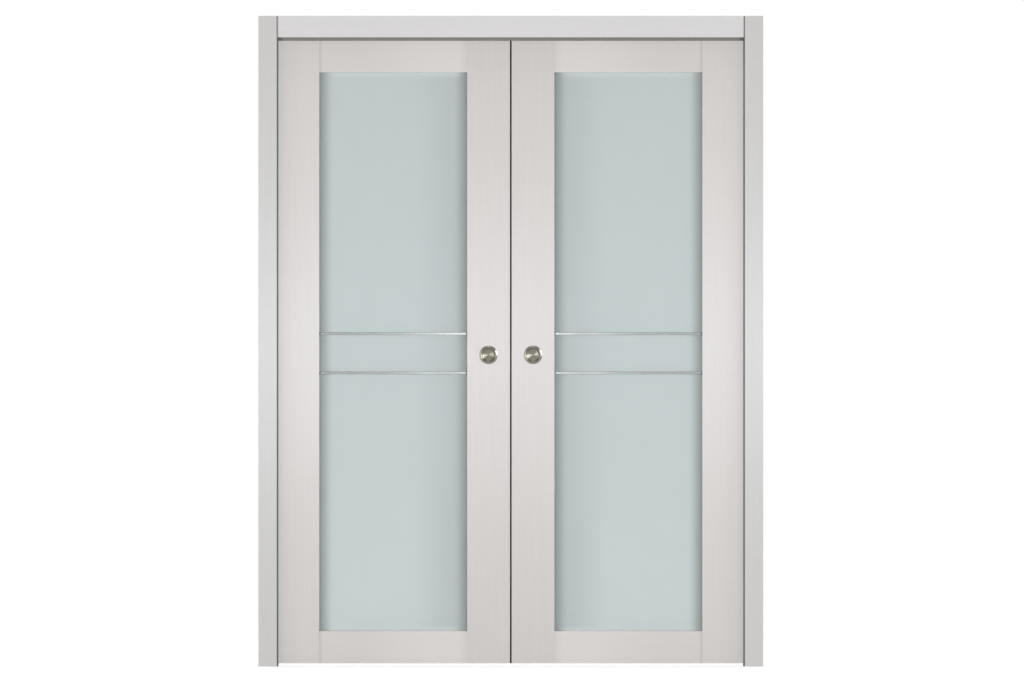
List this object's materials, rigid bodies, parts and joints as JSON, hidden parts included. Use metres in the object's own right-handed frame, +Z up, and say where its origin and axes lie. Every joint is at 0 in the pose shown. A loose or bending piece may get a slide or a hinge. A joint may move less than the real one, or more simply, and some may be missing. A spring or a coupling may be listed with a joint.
{
  "type": "pocket door",
  "caption": "Double pocket door with frosted glass leaves, thin metal glazing bars and round dished pulls; the leaves hang from a head track and slide apart through split jambs.",
  "frame": {"origin": "on the floor, in the middle of the doorway and of the wall's thickness", "axes": "+Z up, +X to the right as seen from the front, front face towards -Y"},
  "size_m": [1.646, 0.146, 2.121],
  "materials": {
    "leaf_veneer": "pale bleached ash veneer, matt lacquer",
    "casing_veneer": "pale bleached ash veneer, matt lacquer",
    "jamb_paint": "dark grey paint on timber",
    "head_paint": "mid grey paint on timber",
    "head_timber": "sawn softwood",
    "frosted_glass": "acid-etched, pale grey-green",
    "satin_aluminium": "satin anodised",
    "pull_nickel": "turned satin nickel",
    "zinc_steel": "zinc plated",
    "seal_rubber": "dark grey, matt",
    "nylon": "natural nylon"
  },
  "bodies": {
    "frame": {"head_board": "head_timber", "track": "satin_aluminium", "head_casing_front": "casing_veneer", "head_casing_back": "casing_veneer", "head_jamb_front": "head_paint", "head_jamb_back": "head_paint", "left_casing_front": "casing_veneer", "right_casing_front": "casing_veneer", "left_casing_back": "casing_veneer", "right_casing_back": "casing_veneer", "left_jamb_front": "jamb_paint", "right_jamb_front": "jamb_paint", "left_jamb_back": "jamb_paint", "right_jamb_back": "jamb_paint", "left_floor_plate": "zinc_steel", "right_floor_plate": "zinc_steel", "left_floor_guide": "nylon", "right_floor_guide": "nylon"},
    "left_leaf": {"left_leaf_meeting_stile": "leaf_veneer", "left_leaf_pocket_stile": "leaf_veneer", "left_leaf_bottom_rail": "leaf_veneer", "left_leaf_top_rail": "leaf_veneer", "left_leaf_lower_glass": "frosted_glass", "left_leaf_middle_glass": "frosted_glass", "left_leaf_upper_glass": "frosted_glass", "left_leaf_lower_bar": "satin_aluminium", "left_leaf_upper_bar": "satin_aluminium", "left_leaf_front_pull": "pull_nickel", "left_leaf_back_pull": "pull_nickel", "left_leaf_hangers": "zinc_steel", "left_leaf_wheels": "nylon", "left_leaf_meeting_strip": "seal_rubber"},
    "right_leaf": {"right_leaf_meeting_stile": "leaf_veneer", "right_leaf_pocket_stile": "leaf_veneer", "right_leaf_bottom_rail": "leaf_veneer", "right_leaf_top_rail": "leaf_veneer", "right_leaf_lower_glass": "frosted_glass", "right_leaf_middle_glass": "frosted_glass", "right_leaf_upper_glass": "frosted_glass", "right_leaf_lower_bar": "satin_aluminium", "right_leaf_upper_bar": "satin_aluminium", "right_leaf_front_pull": "pull_nickel", "right_leaf_back_pull": "pull_nickel", "right_leaf_hangers": "zinc_steel", "right_leaf_wheels": "nylon"}
  },
  "joints": [
    {"name": "left_leaf_slide", "type": "slide", "parent": "frame", "child": "left_leaf", "axis": [-1, 0, 0], "range_m": [0, 0.635]},
    {"name": "right_leaf_slide", "type": "slide", "parent": "frame", "child": "right_leaf", "axis": [1, 0, 0], "range_m": [0, 0.635]}
  ]
}
